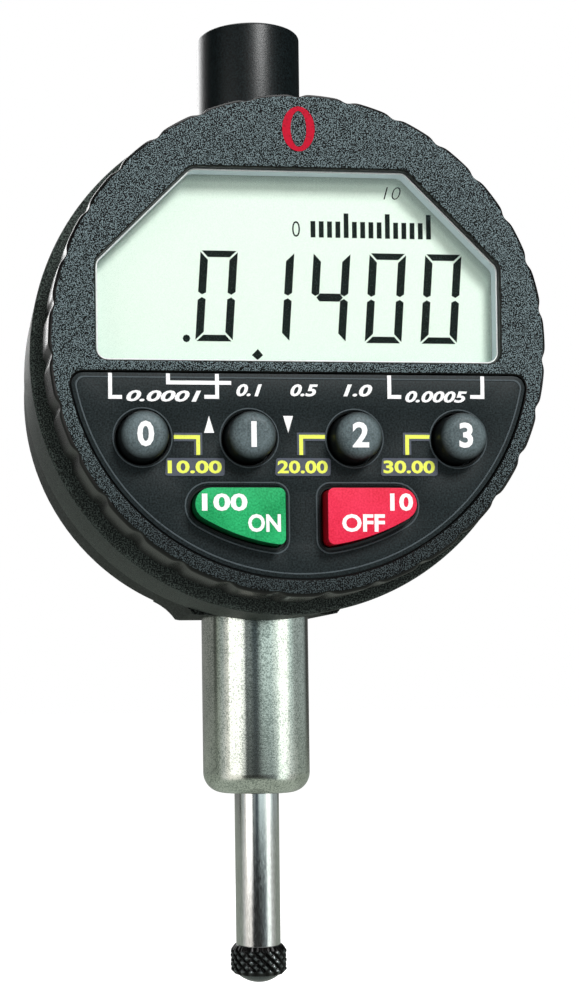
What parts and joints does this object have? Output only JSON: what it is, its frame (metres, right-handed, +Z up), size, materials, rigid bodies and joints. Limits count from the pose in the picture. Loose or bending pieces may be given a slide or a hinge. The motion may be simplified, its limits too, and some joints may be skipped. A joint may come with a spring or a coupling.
{
  "type": "digital indicator",
  "caption": "Round plunger-type digital indicator: display and keys on a turning face, clamping stem and sprung spindle below, dust cap above, lug on the back.",
  "frame": {"origin": "on the spindle axis, in the middle of the straight clamping length of the stem", "axes": "+Z up along the spindle towards the dust cap, -Y out of the face towards the reader, +X to the right of the reader"},
  "size_m": [0.0414, 0.0446, 0.0847],
  "materials": {
    "face_plastic": "fine moulded grain",
    "window_plastic": "clear polished moulding",
    "display_glass": "pale grey-green reflective display",
    "strip_rubber": "layered conductive rubber",
    "panel_film": "printed film, fine satin grain",
    "mat_rubber": "moulded rubber",
    "key_grey": "satin moulding",
    "key_green": "satin moulding",
    "key_red": "satin moulding",
    "board_laminate": "solder-masked laminate",
    "cell_steel": "nickel-plated can",
    "spring_steel": "drawn spring wire and strip",
    "back_plastic": "plain black moulding",
    "screw_steel": "blackened steel",
    "seal_rubber": "moulded ring",
    "case_enamel": "matt grained black enamel on a casting",
    "ground_steel": "ground round, fine grain",
    "bush_bronze": "sintered bronze",
    "cap_black": "satin black",
    "polished_steel": "hardened and polished",
    "tip_black": "blackened, knurled collar",
    "carriage_alloy": "milled",
    "scale_laminate": "etched copper on laminate"
  },
  "bodies": {
    "case": {"rear_housing": "case_enamel", "case_ring": "case_enamel", "ring_screws": "screw_steel", "stem": "ground_steel", "lower_bush": "bush_bronze", "upper_bush": "bush_bronze", "dust_cap": "cap_black", "guide_rail": "polished_steel", "sensor_board": "board_laminate", "return_spring": "spring_steel", "cover_gasket": "seal_rubber", "back_cover": "case_enamel", "cover_screws": "screw_steel"},
    "head": {"face_case": "face_plastic", "window_lens": "window_plastic", "lcd_glass": "display_glass", "contact_strips": "strip_rubber", "panel_overlay": "panel_film", "keypad_mat": "mat_rubber", "main_board": "board_laminate", "coin_cell": "cell_steel", "cell_clip": "spring_steel", "face_back": "back_plastic", "face_screws": "screw_steel", "swivel_seal": "seal_rubber", "snap_ring": "spring_steel"},
    "plunger": {"spindle": "polished_steel", "contact_point": "tip_black", "carriage": "carriage_alloy", "measuring_scale": "scale_laminate"},
    "key_1": {"round_button_1": "key_grey"},
    "key_2": {"round_button_2": "key_grey"},
    "key_3": {"round_button_3": "key_grey"},
    "key_4": {"round_button_4": "key_grey"},
    "key_on": {"on_button": "key_green"},
    "key_off": {"off_button": "key_red"}
  },
  "joints": [
    {"name": "spindle_travel", "type": "slide", "parent": "case", "child": "plunger", "axis": [0, 0, 1], "range_m": [0, 0.0127], "stiffness_N_per_m": 40, "springref_m": -0.02, "deforming": ["return_spring"]},
    {"name": "head_turn", "type": "hinge", "parent": "case", "child": "head", "pos_m": [0, 0, 0.02729], "axis": [0, 1, 0], "range_deg": [-135, 135]},
    {"name": "key_1_press", "type": "slide", "parent": "head", "child": "key_1", "axis": [0, 1, 0], "range_m": [0, 0.0006], "stiffness_N_per_m": 800},
    {"name": "key_2_press", "type": "slide", "parent": "head", "child": "key_2", "axis": [0, 1, 0], "range_m": [0, 0.0006], "stiffness_N_per_m": 800},
    {"name": "key_3_press", "type": "slide", "parent": "head", "child": "key_3", "axis": [0, 1, 0], "range_m": [0, 0.0006], "stiffness_N_per_m": 800},
    {"name": "key_4_press", "type": "slide", "parent": "head", "child": "key_4", "axis": [0, 1, 0], "range_m": [0, 0.0006], "stiffness_N_per_m": 800},
    {"name": "key_on_press", "type": "slide", "parent": "head", "child": "key_on", "axis": [0, 1, 0], "range_m": [0, 0.0006], "stiffness_N_per_m": 800},
    {"name": "key_off_press", "type": "slide", "parent": "head", "child": "key_off", "axis": [0, 1, 0], "range_m": [0, 0.0006], "stiffness_N_per_m": 800}
  ]
}
